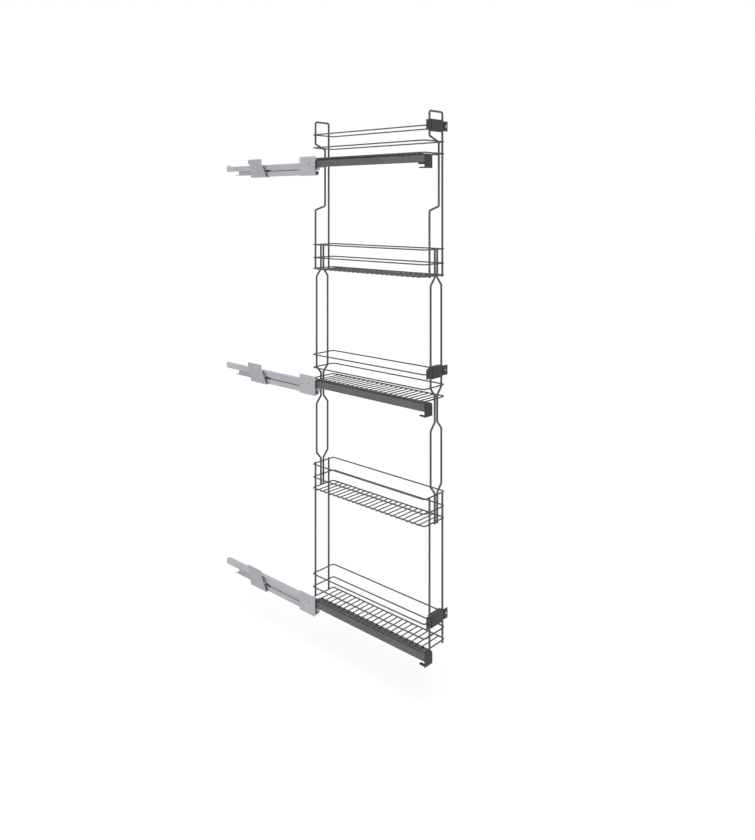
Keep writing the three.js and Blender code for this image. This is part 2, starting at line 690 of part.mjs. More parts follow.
const s = TRACK_SHEET;
const memberNear = trackNear + s + BALL_GAP;
const memberTop = trackTop - s - BALL_GAP;
const memberBottom = trackBottom + s + BALL_GAP;
const runnerTop = memberTop - MEMBER_SHEET - BALL_GAP;
const runnerBottom = memberBottom + MEMBER_SHEET + BALL_GAP;
const memberFront = trackFront + MEMBER_INSET - travel / 2;
const runnerFront = carriageFront + RUNNER_INSET;

// A C profile open away from the wall: x of its web, its outer top and bottom, its width and its sheet.
function channelProfile(near, top, bottom, width, sheet) {
  return [
    [near, top],
    [near, bottom],
    [near + width, bottom],
    [near + width, bottom + sheet],
    [near + sheet, bottom + sheet],
    [near + sheet, top - sheet],
    [near + width, top - sheet],
    [near + width, top],
  ];
}

function intermediateRail() {
  const profile = channelProfile(memberNear, memberTop, memberBottom, MEMBER_WIDTH, MEMBER_SHEET);
  return alongY(profile, memberFront, memberFront + MEMBER_LENGTH);
}

function runner() {
  const webNear = trackFar + RUNNER_CLEARANCE;
  const webFar = webNear + RUNNER_SHEET;
  const top = carriageRoof - SEAT_GAP;
  const tip = webNear - RUNNER_REACH;
  const t = MEMBER_SHEET;
  return alongY([
    [tip, runnerBottom],
    [webFar, runnerBottom],
    [webFar, top],
    [webNear - RUNNER_FLANGE, top],
    [webNear - RUNNER_FLANGE, top - RUNNER_SHEET],
    [webNear, top - RUNNER_SHEET],
    [webNear, runnerTop],
    [tip, runnerTop],
    [tip, runnerTop - t],
    [webNear, runnerTop - t],
    [webNear, runnerBottom + t],
    [tip, runnerBottom + t],
  ], runnerFront, runnerFront + runnerLength);
}

// A bent strip in the gap between two raceways, with a row of balls in each flange.
function cage(outerNear, outerTop, outerBottom, middle) {
  const inset = (BALL_GAP - CAGE_SHEET) / 2;
  const near = outerNear + inset;
  const top = outerTop - inset;
  const bottom = outerBottom + inset;
  const profile = channelProfile(near, top, bottom, CAGE_WIDTH, CAGE_SHEET);
  let body = alongY(profile, middle - CAGE_LENGTH / 2, middle + CAGE_LENGTH / 2);
  for (let i = 0; i < BALLS_PER_ROW; i += 1) {
    for (const z of [top - CAGE_SHEET / 2, bottom + CAGE_SHEET / 2]) {
      const ball = new THREE.OctahedronGeometry(BALL / 2);
      ball.translate(near + CAGE_WIDTH * 0.6, middle + (i - (BALLS_PER_ROW - 1) / 2) * BALL_PITCH, z);
      body = body.add(solid(ball));
    }
  }
  return body;
}

// ---------------------------------------------------------------- carriage rail and its end plate

function carriageRail() {
  const c = CARRIAGE_SHEET;
  const near = carriageNear;
  const far = carriageNear + CARRIAGE_WIDTH;
  const ribNear = near + RIB_INSET;
  const ribFar = ribNear + RIB_WIDTH;
  const rail = alongY([
    [near, carriageTop],
    [near, carriageTop - CARRIAGE_DEPTH],
    [near + c, carriageTop - CARRIAGE_DEPTH],
    [near + c, carriageRoof],
    [ribNear + c, carriageRoof],
    [ribNear + c, ribTop - c],
    [ribFar - c, ribTop - c],
    [ribFar - c, carriageRoof],
    [far - c, carriageRoof],
    [far - c, carriageTop - CARRIAGE_FAR_DEPTH],
    [far, carriageTop - CARRIAGE_FAR_DEPTH],
    [far, carriageTop],
    [ribFar, carriageTop],
    [ribFar, ribTop],
    [ribNear, ribTop],
    [ribNear, carriageTop],
  ], carriageFront, carriageRear);
  const slots = [];
  for (let i = 0; i < floorWireCount; i += 1) {
    const y = floorWireY(i);
    if (y + WIRE_SLOT_WIDTH > carriageRear || y - WIRE_SLOT_WIDTH < carriageFront) continue;
    const slotFar = far - WIRE_SLOT_INSET;
    slots.push(block(
      slotFar - WIRE_SLOT_LENGTH, slotFar,
      y - WIRE_SLOT_WIDTH / 2, y + WIRE_SLOT_WIDTH / 2,
      carriageRoof - OVERCUT, carriageTop + OVERCUT,
    ));
  }
  return rail.subtract(wasm.Manifold.union(slots));
}

function endPlate() {
  const near = carriageNear - END_PLATE_OUTSET;
  const far = near + END_PLATE_WIDTH;
  const back = carriageFront - SEAT_GAP;
  const front = back - END_PLATE_SHEET;
  const top = carriageTop + END_PLATE_RISE;
  const bottom = top - END_PLATE_HEIGHT;
  const outline = [[near, bottom], [far, bottom]];
  for (let k = 0; k <= CORNER_SEGMENTS; k += 1) {
    const turn = (k / CORNER_SEGMENTS) * (Math.PI / 2);
    outline.push([
      far - END_PLATE_CORNER * (1 - Math.cos(turn)),
      top - END_PLATE_CORNER * (1 - Math.sin(turn)),
    ]);
  }
  outline.push([near + END_PLATE_NEAR_CORNER, top], [near, top - END_PLATE_NEAR_CORNER]);
  const plate = alongY(outline, front, back);
  const fused = back - END_PLATE_SHEET / 2;
  const hookNear = channelNear + TRACK_SHEET + RUNNER_CLEARANCE * 2;
  const hook = alongX([
    [fused, bottom],
    [back + HOOK_LENGTH - HOOK_POINT, bottom],
    [back + HOOK_LENGTH, bottom + HOOK_SHEET / 2],
    [back + HOOK_LENGTH - HOOK_POINT / 2, bottom + HOOK_SHEET],
    [fused, bottom + HOOK_SHEET],
  ], hookNear, hookNear + HOOK_WIDTH);
  const footFar = carriageNear + CARRIAGE_WIDTH - CARRIAGE_SHEET - SEAT_GAP;
  const footBottom = carriageTop - CARRIAGE_DEPTH - FOOT_DROP;
  const foot = alongX([
    [fused, footBottom],
    [back + FOOT_LENGTH - FOOT_DROP, footBottom],
    [back + FOOT_LENGTH, footBottom + FOOT_DROP],
    [back + FOOT_LENGTH, footBottom + FOOT_HEIGHT],
    [fused, footBottom + FOOT_HEIGHT],
  ], footFar - FOOT_WIDTH, footFar);
  return plate.add(hook).add(foot);
}

for (const slide of slides) {
  const level = basketHeight(slide.basket);
  const place = (part, manifold, material) => {
    const geometry = geometryOf(manifold);
    geometry.translate(0, 0, level);
    add(`${slide.name}_${part}`, geometry, material);
  };
  const outerMiddle = (trackFront + memberFront + MEMBER_LENGTH) / 2;
  const innerMiddle = (memberFront + runnerFront + runnerLength) / 2;
  place('cabinet_rail', cabinetRail(), galvanised);
  place('front_wall_bracket', frontBracket(), galvanised);
  place('rear_wall_bracket', rearBracket(), galvanised);
  place('damper', damper(), greyPlastic);
  place('intermediate_rail', intermediateRail(), galvanised);
  place('outer_ball_cage', cage(trackNear + s, trackTop - s, trackBottom + s, outerMiddle), steel);
  place('inner_ball_cage', cage(
    memberNear + MEMBER_SHEET, memberTop - MEMBER_SHEET, memberBottom + MEMBER_SHEET, innerMiddle,
  ), steel);
  place('carriage_member', runner(), galvanised);
  place('carriage_rail', carriageRail(), paint);
  place('end_plate', endPlate(), darkPlastic);
}

// ---------------------------------------------------------------- door brackets

// A moulded block behind the door: posts lie in open grooves, and the ring's end wire in one at its back.
function doorBracket(spread, height) {
  const face = frontFrame - facetFlat(FRAME_WIRE) - DOOR_FACE_GAP;
  const rear = face + DOOR_DEPTH;
  const groove = facetRadius(FRAME_WIRE) + POST_CLEARANCE;
  const bridgeFront = frontFrame + facetFlat(FRAME_WIRE) + POST_CLEARANCE;
  const bridgeRear = bridgeFront + DOOR_BRIDGE;
  const middle = height + DOOR_RISE;
  const half = DOOR_HEIGHT / 2;
  const lobe = DOOR_LOBE_HEIGHT / 2;
  const shoulder = spread + groove + DOOR_WEB;
  const core = spread - groove + POST_CLEARANCE;
  let body = block(unitX - core, unitX + core, face, bridgeRear, middle - half, middle + half)
    .add(block(unitX - shoulder, unitX + shoulder, face, bridgeRear, middle - lobe, middle + lobe));
  const shelf = block(unitX - core, unitX + core, face, rear, middle + half - DOOR_SHELF, middle + half);
  const nearLobe = block(
    unitX - DOOR_NEAR_REACH, unitX - shoulder + DOOR_WEB / 2,
    face, face + DOOR_LOBE_SHEET, middle - lobe, middle + lobe,
  );
  const farLobe = block(
    unitX + shoulder - DOOR_WEB / 2, unitX + DOOR_FAR_REACH,
    face, face + DOOR_LOBE_SHEET, middle - lobe, middle + lobe,
  );
  body = body.add(shelf).add(nearLobe).add(farLobe);
  for (const side of [-1, 1]) {
    const x = unitX + side * spread;
    body = body.subtract(block(
      x - groove, x + groove,
      face - OVERCUT, bridgeFront, middle - half - OVERCUT, middle + half + OVERCUT,
    ));
    const reach = side < 0 ? DOOR_NEAR_REACH : DOOR_FAR_REACH;
    const slotX = unitX + (side * (shoulder + reach)) / 2;
    body = body.subtract(slotY(
      slotX, middle, DOOR_SLOT_LENGTH, DOOR_SLOT_WIDTH, face - OVERCUT, face + DOOR_LOBE_SHEET + OVERCUT,
    ));
  }
  const wireRoom = facetRadius(RING_WIRE) + POST_CLEARANCE;
  body = body.subtract(block(
    unitX - shoulder - OVERCUT, unitX + shoulder + OVERCUT,
    basketFront - wireRoom, rear + OVERCUT, height - wireRoom, height + wireRoom,
  ));
  return body;
}

for (const slide of slides) {
  const height = basketHeight(slide.basket) + UPPER_RING_RISE;
  const spread = slide.name === 'middle' ? WAIST_SPREAD : POST_SPREAD;
  add(`${slide.name}_door_bracket`, geometryOf(doorBracket(spread, height)), darkPlastic);
}

export default root;
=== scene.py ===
"""Looks of the tall larder pull-out, in metres, in the CAD model's own frame."""

import math

import bmesh
import bpy
from mathutils import Matrix, Vector


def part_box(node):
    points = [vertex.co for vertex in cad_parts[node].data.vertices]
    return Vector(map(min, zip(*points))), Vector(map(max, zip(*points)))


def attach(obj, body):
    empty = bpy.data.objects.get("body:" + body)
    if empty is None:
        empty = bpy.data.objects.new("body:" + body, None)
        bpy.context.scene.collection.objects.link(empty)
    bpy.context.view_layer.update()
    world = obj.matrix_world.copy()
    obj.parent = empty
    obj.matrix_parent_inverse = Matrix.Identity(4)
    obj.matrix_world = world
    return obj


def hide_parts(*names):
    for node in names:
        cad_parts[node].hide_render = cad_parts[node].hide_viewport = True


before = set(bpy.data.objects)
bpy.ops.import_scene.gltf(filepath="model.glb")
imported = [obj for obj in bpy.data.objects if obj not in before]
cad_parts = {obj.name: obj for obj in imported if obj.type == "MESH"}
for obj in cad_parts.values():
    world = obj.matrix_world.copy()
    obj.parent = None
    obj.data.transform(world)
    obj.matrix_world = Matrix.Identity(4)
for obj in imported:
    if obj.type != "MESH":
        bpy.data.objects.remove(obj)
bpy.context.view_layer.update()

UP = Vector((0, 0, 1))
BACKWARD = Vector((0, 1, 0))  # to the cabinet's back
FORWARD = Vector((0, -1, 0))
FROM_WALL = Vector((1, 0, 0))  # away from the side wall that carries the slides

# ---------------------------------------------------------------- sizes of the CAD model

RING_RADIUS = 0.0020
FRAME_RADIUS = 0.0030
CORNER_SCALE = 1.09963  # a six-sided rod's corner distance over its nominal radius
FLAT_SCALE = 0.95231  # its flat distance over the same
FLOOR_RADIUS = 0.00188  # corner distance of the four-sided floor rods

UNIT_X = 0.057  # middle of the cabinet's opening, and of the baskets
BASKET_COUNT = 5  # basket 1 is the top one
CORNER_RADIUS = 0.008  # of a basket's corners
MIDDLE_RING_RISE = 0.0364  # above the bottom ring
UPPER_RING_RISE = 0.0804
FLOOR_COUNT = 22
FLOOR_PITCH = 0.0209
FLOOR_SHIFT = 0.002  # the row of floor wires sits this far behind the basket's middle
FLOOR_REACH = 0.0516  # from the unit's middle to a floor wire's end

POST_SPREAD = 0.0313  # outer posts, from the unit's middle
NECK_SPREAD = 0.006  # middle frame's wires where they pass a basket or a slide
WAIST_SPREAD = 0.026  # middle frame's wires between baskets
NECK_RADIUS = 0.007  # of the middle wires' bends
NECK_FLARE = 0.023  # height of the bend between neck and waist
NECK_TAIL = 0.0049  # neck below a basket's bottom ring
NECK_HEAD = 0.0093  # neck above a basket's upper ring
SLIDE_NECK_ABOVE = 0.0124  # neck above the middle basket's bottom ring
SLIDE_NECK_BELOW = 0.0686  # and below it
HOOP_CORNER = 0.0065  # radius of the hoop's bends
HOOP_JOG_X = 0.0138  # near post where it passes the upper slide
HOOP_JOG_START = 0.0504  # above the top basket's bottom ring
HOOP_JOG_DROP = 0.0172  # height over which it bends in
HOOP_JOG_END = 0.1742  # below the top basket's bottom ring
HOOP_JOG_RETURN = 0.013  # height over which it bends back

SLIDES = ("upper", "middle", "lower")
RIB_RISE = 0.0035  # of the rib pressed along the carriage rail's top
GUIDE_INSET = 0.006  # the damper's guide behind its housing's near face
BRACKET_SHEET = 0.0018
SCREW_DROP = 0.0115  # the brackets' screws below the front bracket's top
SCREW_HALF = 0.016  # half the distance between a bracket's two screws
REAR_HEAD_Y = 0.2828  # middle of the rear bracket's head

# ---------------------------------------------------------------- sizes that only the scene has

# The floor wires hang this far below the ring's centre. It is 0.13 mm less than in the CAD model, because
# wires as thick as the rods' corners would otherwise sink too far into the rail's rib.
FLOOR_DROP = 0.0026

PIPE_SIDES = 16
ARC_STEPS = 8
WIRE_DOME = ((0.0, 0.55), (0.135, 0.86), (0.45, 1.0))  # at a wire's end: depth and width over its radius

# Half the size of a weld bead or of a dark dimple spot, in X, Y and Z; the dimple spots' darkness is
# painted shade.
FLOOR_BEAD = (0.0016, 0.0021, 0.0009)
FLOOR_BEAD_SINK = 0.62  # a floor wire's beads sit at this share of its drop
FRAME_BEAD = (0.0026, 0.0014, 0.0022)
DIMPLE = (0.0022, 0.0026, 0.00012)
DIMPLE_X = 0.0115  # between the carriage rail's near edge and its rib
DIMPLE_MARGIN = 0.004  # least distance to the rail's ends

MERGE_DISTANCE = 1e-6
FLAT_ANGLE = math.radians(2)  # faces closer to flat than this become one
SHARP_ANGLE = math.radians(40)  # edges sharper than this are eased
TRIM_EASE = 0.0004

SCREW_SIDES = 24
SCREW_HEAD = ((0.0, 1.0), (0.45, 0.96), (0.8, 0.78), (1.0, 0.42))  # shares of its height and radius
SCREW_DISH = 0.45  # height of the dish's bottom over the head's height
WALL_SCREW_RADIUS = 0.0042
WALL_SCREW_HEIGHT = 0.0018
WALL_SHANK_RADIUS = 0.00245
WALL_SHANK_SHIFT = 0.0002  # into the head
DOOR_SCREW_X = 0.1035
DOOR_SCREW_RADIUS = 0.0034
DOOR_SCREW_HEIGHT = 0.0002
DOOR_SCREW_SINK = 0.0003  # from the bracket's front face back to the head's seat

BUFFER_SIDES = 32
BUFFER_RADIUS = 0.0043
BUFFER_DEPTH = 0.0022
BUFFER_EASE = 0.0003
BUFFER_X = 0.01925  # in the middle of the stop plate's sheet
BUFFER_SETBACK = 0.026  # behind the cabinet rail's front end
BUFFER_RISE = 0.0068  # above the cabinet rail's lower edge

# The guide's foot and the dark wedge of painted shade at the slot's mouth: lengths run from the damper's
# front end, heights from the channel's underside.
GUIDE_FRONT = 0.0002
GUIDE_STEP = 0.186  # just past the channel's rear end
GUIDE_REAR = 0.206
GUIDE_FLOOR = 0.0019  # just above the channel's floor
GUIDE_TOP = 0.0081  # just inside the guide's upper half
SHADE_WEDGE_TIP = 0.1605
SHADE_WEDGE_REAR = 0.1897
SHADE_WEDGE_TIP_HEIGHTS = (0.0200, 0.0222)
SHADE_WEDGE_REAR_HEIGHTS = (0.0190, 0.0248)
SHADE_WEDGE_STANDOFF = (0.0006, 0.00005)  # its two faces in front of the channel's web

PAD_LENGTH = 0.012
PAD_WIDTH = 0.0175
PAD_INSET = 0.00075  # from the carriage rail's near face
PAD_REAR_INSET = 0.0003
PAD_TOP_INSET = 0.0001  # below the top of the rib


# ---------------------------------------------------------------- materials

CLOUD_DETAIL = 3.0
GRAIN_DETAIL = 2.0
NOISE_LOW, NOISE_HIGH = 0.3, 0.7  # most of a noise lies between these


def new_material(name):
    material = bpy.data.materials.new(name)
    material.use_nodes = True
    tree = material.node_tree
    return material, tree, tree.nodes["Principled BSDF"]


def noise(tree, scale, detail, stretch=(1, 1, 1)):
    coords = tree.nodes.new("ShaderNodeTexCoord")
    mapping = tree.nodes.new("ShaderNodeMapping")
    mapping.inputs["Scale"].default_value = stretch
    tree.links.new(coords.outputs["Object"], mapping.inputs["Vector"])
    texture = tree.nodes.new("ShaderNodeTexNoise")
    texture.inputs["Scale"].default_value = scale
    texture.inputs["Detail"].default_value = detail
    tree.links.new(mapping.outputs["Vector"], texture.inputs["Vector"])
    return texture.outputs["Fac"]


def ramp(tree, source, low, high):
    """Spreads a noise over low to high."""
    node = tree.nodes.new("ShaderNodeMapRange")
    node.inputs["From Min"].default_value = NOISE_LOW
    node.inputs["From Max"].default_value = NOISE_HIGH
    node.inputs["To Min"].default_value = low
    node.inputs["To Max"].default_value = high
    tree.links.new(source, node.inputs["Value"])
    return node.outputs["Result"]


def mix_colour(tree, factor, first, second):
    node = tree.nodes.new("ShaderNodeMix")
    node.data_type = "RGBA"
    node.inputs["A"].default_value = (*first, 1)
    node.inputs["B"].default_value = (*second, 1)
    tree.links.new(factor, node.inputs["Factor"])
    return node.outputs["Result"]


def bump(tree, height, strength, distance):
    node = tree.nodes.new("ShaderNodeBump")
    node.inputs["Strength"].default_value = strength
    node.inputs["Distance"].default_value = distance
    tree.links.new(height, node.inputs["Height"])
    return node.outputs["Normal"]


def surface(name, colour, tones, cloud_scale, grain_scale, roughness, relief, stretch=(1, 1, 1)):
    """A material with a soft clouding between two tones and a fine grain.

    The grain moves the roughness over a range, and its relief has a strength and a depth.
    """
    material, tree, shader = new_material(name)
    cloud = ramp(tree, noise(tree, cloud_scale, CLOUD_DETAIL), 0.0, 1.0)
    darker, lighter = (tuple(c * tone for c in colour) for tone in tones)
    tree.links.new(mix_colour(tree, cloud, darker, lighter), shader.inputs["Base Color"])
    grain = noise(tree, grain_scale, GRAIN_DETAIL, stretch)
    tree.links.new(ramp(tree, grain, *roughness), shader.inputs["Roughness"])
    tree.links.new(bump(tree, grain, *relief), shader.inputs["Normal"])
    return material, shader


def powder_coat(name, colour, roughness=0.45):
    """Satin powder coat: a fine orange peel, and a slight change of tone over the length of a piece."""
    material, shader = surface(
        name, colour, tones=(0.88, 1.10), cloud_scale=9.0, grain_scale=900.0,
        roughness=(roughness - 0.05, roughness + 0.07), relief=(0.25, 0.00025),
    )
    shader.inputs["Specular IOR Level"].default_value = 0.3
    return material


def zinc(name, colour, roughness=0.42, metallic=0.35):
    """Zinc-plated sheet: a soft clouding, and fine rolling lines along the rail."""
    material, shader = surface(
        name, colour, tones=(0.95, 1.05), cloud_scale=14.0, grain_scale=700.0,
        roughness=(roughness - 0.06, roughness + 0.08), relief=(0.12, 0.0002), stretch=(1.0, 0.02, 1.0),
    )
    shader.inputs["Metallic"].default_value = metallic
    return material


def moulded(name, colour, roughness=0.5):
    """Moulded plastic: fine spark-eroded grain."""
    material, shader = surface(
        name, colour, tones=(0.92, 1.08), cloud_scale=30.0, grain_scale=1800.0,
        roughness=(roughness - 0.06, roughness + 0.08), relief=(0.3, 0.0002),
    )
    shader.inputs["Specular IOR Level"].default_value = 0.35
    return material


# The wires and the rails carry one anthracite powder coat. Its two tones are painted light and shade:
# lighter on the rails' broad faces, darker on the thin wires.
WIRE_PAINT_SHADED = powder_coat("wire_paint_shaded", (0.078, 0.078, 0.080))
RAIL_PAINT_LIT = powder_coat("rail_paint_lit", (0.103, 0.101, 0.103), roughness=0.42)
# Near black for the rail's dimple spots: painted shade under the floor wires.
DIMPLE_SHADE_PAINT = powder_coat("dimple_painted_shade", (0.045, 0.044, 0.045))
ZINC = zinc("zinc_sheet", (0.40, 0.395, 0.435))
# The same zinc as the front bracket, darker for the rear bracket: painted shade.
ZINC_REAR_SHADED = zinc("zinc_rear_painted_shade", (0.355, 0.35, 0.385))
ZINC_INNER = zinc("zinc_inner", (0.35, 0.345, 0.37))
BRIGHT = zinc("bright_steel", (0.62, 0.62, 0.64), roughness=0.22, metallic=0.8)
DARK_PLASTIC = moulded("dark_plastic", (0.027, 0.024, 0.026))
PLATE_PLASTIC = moulded("end_plate_dark", (0.024, 0.022, 0.024), roughness=0.48)
GREY_PLASTIC = moulded("damper_grey", (0.34, 0.34, 0.37))
# Dark grey for the guide's foot: painted shade in the gap by the rear bracket.
GUIDE_SHADE_PLASTIC = moulded("guide_painted_shade", (0.13, 0.13, 0.14))
RUBBER = moulded("buffer_rubber", (0.13, 0.125, 0.125), roughness=0.6)


# ---------------------------------------------------------------- pieces and meshes

def add_object(name, data):
    obj = bpy.data.objects.new(name, data)
    bpy.context.scene.collection.objects.link(obj)
    return obj


def add_piece(name, bm, material, body, smooth=False):
    """Turns bm into a piece that rides on body, and hands the piece back."""
    mesh = bpy.data.meshes.new(name)
    bm.normal_update()
    bm.to_mesh(mesh)
    bm.free()
    for face in mesh.polygons:
        face.use_smooth = smooth
    mesh.materials.append(material)
    piece = add_object(name, mesh)
    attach(piece, body)
    return piece


def finished(bm):
    """Turns the faces of bm outwards, and hands bm back."""
    bmesh.ops.recalc_face_normals(bm, faces=bm.faces)
    return bm


def add_wires(name, bm):
    """A painted piece of the moving unit's wirework."""
    return add_piece(name, finished(bm), WIRE_PAINT_SHADED, "pull_out_unit", smooth=True)


def rounded(points, radius, closed):
    """A path through points with its corners rounded."""
    path = []
    count = len(points)
    for i, here in enumerate(points):
        if not closed and i in (0, count - 1):
            path.append(here.copy())
            continue
        before = (points[i - 1] - here).normalized()
        after = (points[(i + 1) % count] - here).normalized()
        angle = before.angle(after)
        start = here + before * (radius / math.tan(angle / 2))
        end = here + after * (radius / math.tan(angle / 2))
        centre = here + (before + after).normalized() * (radius / math.sin(angle / 2))
        sweep = math.pi - angle
        for k in range(ARC_STEPS + 1):
            t = k / ARC_STEPS
            a = math.sin((1 - t) * sweep) / math.sin(sweep)
            b = math.sin(t * sweep) / math.sin(sweep)
            path.append(centre + (start - centre) * a + (end - centre) * b)
    return path


def tube(bm, path, radius, normal, closed):
    """A round wire along a flat path, with domed ends where it is open."""
    sections = []
    count = len(path)
    for i, point in enumerate(path):
        into = (point - path[i - 1]).normalized() if closed or i > 0 else None
        out = (path[(i + 1) % count] - point).normalized() if closed or i < count - 1 else None
        into = into or out
        out = out or into
        tangent = (into + out).normalized()
        sections.append((point, tangent, radius, 1 / tangent.dot(into)))
    if not closed:
        head, ahead = sections[0][:2]
        tail, along = sections[-1][:2]
        dome = [(depth * radius, width * radius) for depth, width in WIRE_DOME]
        sections = (
            [(head + ahead * depth, ahead, size, 1) for depth, size in dome]
            + sections[1:-1]
            + [(tail - along * depth, along, size, 1) for depth, size in reversed(dome)]
        )
    rings = []
    for point, tangent, size, stretch in sections:
        side = normal.cross(tangent)
        rings.append([
            bm.verts.new(
                point
                + side * (size * stretch * math.cos(2 * math.pi * k / PIPE_SIDES))
                + normal * (size * math.sin(2 * math.pi * k / PIPE_SIDES))
            )
            for k in range(PIPE_SIDES)
        ])
    spans = len(rings) if closed else len(rings) - 1
    for i in range(spans):
        here, there = rings[i], rings[(i + 1) % len(rings)]
        for k in range(PIPE_SIDES):
            n = (k + 1) % PIPE_SIDES
            bm.faces.new((here[k], there[k], there[n], here[n]))
    if not closed:
        bm.faces.new(rings[0])
        bm.faces.new(list(reversed(rings[-1])))


def bead(bm, place, size):
    """A small flattened ball, for a weld bead or a dimple."""
    made = bmesh.ops.create_icosphere(bm, subdivisions=2, radius=1.0)
    bmesh.ops.scale(bm, vec=size, verts=made["verts"])
    bmesh.ops.translate(bm, vec=place, verts=made["verts"])


def cylinder(bm, sides, radius, depth, middle):
    """A cylinder along X."""
    made = bmesh.ops.create_cone(
        bm, cap_ends=True, segments=sides, radius1=radius, radius2=radius, depth=depth
    )
    bmesh.ops.rotate(bm, matrix=Matrix.Rotation(math.pi / 2, 3, "Y"), verts=made["verts"])
    bmesh.ops.translate(bm, vec=middle, verts=made["verts"])


def screw(bm, seat, axis, radius, height):
    """A screw's pan head with a dished top, which stands on seat along axis."""
    turn = axis.to_track_quat("Z", "Y").to_matrix()
    rings = []
    for up, wide in SCREW_HEAD:
        rings.append([
            bm.verts.new(
                seat + turn @ Vector((
                    radius * wide * math.cos(2 * math.pi * k / SCREW_SIDES),
                    radius * wide * math.sin(2 * math.pi * k / SCREW_SIDES),
                    height * up,
                ))
            )
            for k in range(SCREW_SIDES)
        ])
    for a, b in zip(rings, rings[1:]):
        for k in range(SCREW_SIDES):
            n = (k + 1) % SCREW_SIDES
            bm.faces.new((a[k], a[n], b[n], b[k]))
    bm.faces.new(list(reversed(rings[0])))
    centre = bm.verts.new(seat + turn @ Vector((0, 0, height * SCREW_DISH)))
    for k in range(SCREW_SIDES):
        bm.faces.new((rings[-1][k], rings[-1][(k + 1) % SCREW_SIDES], centre))


def ease(bm, edges, width):
    """Rounds edges off over width."""
    bmesh.ops.bevel(
        bm, geom=edges, offset=width, segments=2, profile=0.5, affect="EDGES", clamp_overlap=True
    )


def eased(node, width, material, slot, body):
    """The CAD solid with its edges eased, so that they catch the light."""
    bm = bmesh.new()
    bm.from_mesh(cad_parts[node].data)
    bmesh.ops.remove_doubles(bm, verts=bm.verts, dist=MERGE_DISTANCE)
    bmesh.ops.dissolve_limit(bm, angle_limit=FLAT_ANGLE, verts=bm.verts, edges=bm.edges)
    sharp = [e for e in bm.edges if len(e.link_faces) == 2 and e.calc_face_angle(0) > SHARP_ANGLE]
    ease(bm, sharp, width)
    piece = add_piece(node + "_eased", bm, material, body)
    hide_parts(node)


def trim_block(name, outline, near, far, material, body):
    """A small block: an outline in Y and Z, drawn out along X from near to far, its edges eased."""
    bm = bmesh.new()
    ends = [[bm.verts.new((x, y, z)) for y, z in outline] for x in (near, far)]
    for end in ends:
        bm.faces.new(end)
    for i in range(len(outline)):
        bm.faces.new((ends[0][i - 1], ends[0][i], ends[1][i], ends[1][i - 1]))
    finished(bm)
    ease(bm, bm.edges[:], TRIM_EASE)
    add_piece(name, bm, material, body)


def dress(node, material):
    """Gives a material to a CAD solid that is shown unchanged."""
    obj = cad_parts[node]
    obj.data.materials.clear()
    obj.data.materials.append(material)


# ---------------------------------------------------------------- baskets

RING_REACH = RING_RADIUS * CORNER_SCALE
ring_low, ring_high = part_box("basket_1_upper_ring")
NEAR_X, FAR_X = ring_low.x + RING_REACH, ring_high.x - RING_REACH
FRONT_Y, REAR_Y = ring_low.y + RING_REACH, ring_high.y - RING_REACH
FLOOR_MIDDLE = (FRONT_Y + REAR_Y) / 2 + FLOOR_SHIFT
FLOOR_YS = [FLOOR_MIDDLE + (i - (FLOOR_COUNT - 1) / 2) * FLOOR_PITCH for i in range(FLOOR_COUNT)]


def ring_path(z):
    corners = [
        Vector((NEAR_X, FRONT_Y, z)),
        Vector((FAR_X, FRONT_Y, z)),
        Vector((FAR_X, REAR_Y, z)),
        Vector((NEAR_X, REAR_Y, z)),
    ]
    return rounded(corners, CORNER_RADIUS, True)


def ring(node):
    """A basket's middle or upper ring."""
    low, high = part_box(node)
    bm = bmesh.new()
    tube(bm, ring_path((low.z + high.z) / 2), RING_REACH, UP, True)
    piece = add_wires(node + "_wire", bm)
    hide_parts(node)


def basket_z(number):
    """Height of the centre of a basket's bottom ring."""
    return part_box(f"basket_{number}_floor")[1].z - RING_RADIUS * FLAT_SCALE


def floor_grid(number):
    """A basket's bottom ring and the wires welded under it."""
    node = f"basket_{number}_floor"
    z = basket_z(number)
    bm = bmesh.new()
    tube(bm, ring_path(z), RING_REACH, UP, True)
    for y in FLOOR_YS:
        ends = [Vector((UNIT_X + reach, y, z - FLOOR_DROP)) for reach in (-FLOOR_REACH, FLOOR_REACH)]
        tube(bm, ends, FLOOR_RADIUS, UP, False)
        for x in (NEAR_X, FAR_X):
            bead(bm, Vector((x, y, z - FLOOR_DROP * FLOOR_BEAD_SINK)), FLOOR_BEAD)
    piece = add_wires(node + "_wires", bm)
    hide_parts(node)


for number in range(1, BASKET_COUNT + 1):
    floor_grid(number)
    ring(f"basket_{number}_middle_ring")
    ring(f"basket_{number}_upper_ring")


# ---------------------------------------------------------------- end frames

def frame_wire(node, points, corner_radius=0):
    """A wire of an end frame through points, each given as its X from the unit's middle and its height."""
    low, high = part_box(node)
    y = (low.y + high.y) / 2
    path = rounded([Vector((UNIT_X + x, y, z)) for x, z in points], corner_radius, False)
    bm = bmesh.new()
    tube(bm, path, FRAME_RADIUS * CORNER_SCALE, BACKWARD, False)
    piece = add_wires(node + "_round", bm)
    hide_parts(node)


def hoop(node):
    """The upper frame, whose near post jogs sideways past the upper slide and back."""
    low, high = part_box(node)
    top = high.z - FRAME_RADIUS * CORNER_SCALE
    ring_z = basket_z(1)
    frame_wire(node, [
        (-POST_SPREAD, low.z),
        (-POST_SPREAD, ring_z - HOOP_JOG_END),
        (HOOP_JOG_X, ring_z - HOOP_JOG_END + HOOP_JOG_RETURN),
        (HOOP_JOG_X, ring_z + HOOP_JOG_START - HOOP_JOG_DROP),
        (-POST_SPREAD, ring_z + HOOP_JOG_START),
        (-POST_SPREAD, top),
        (POST_SPREAD, top),
        (POST_SPREAD, low.z),
    ], HOOP_CORNER)


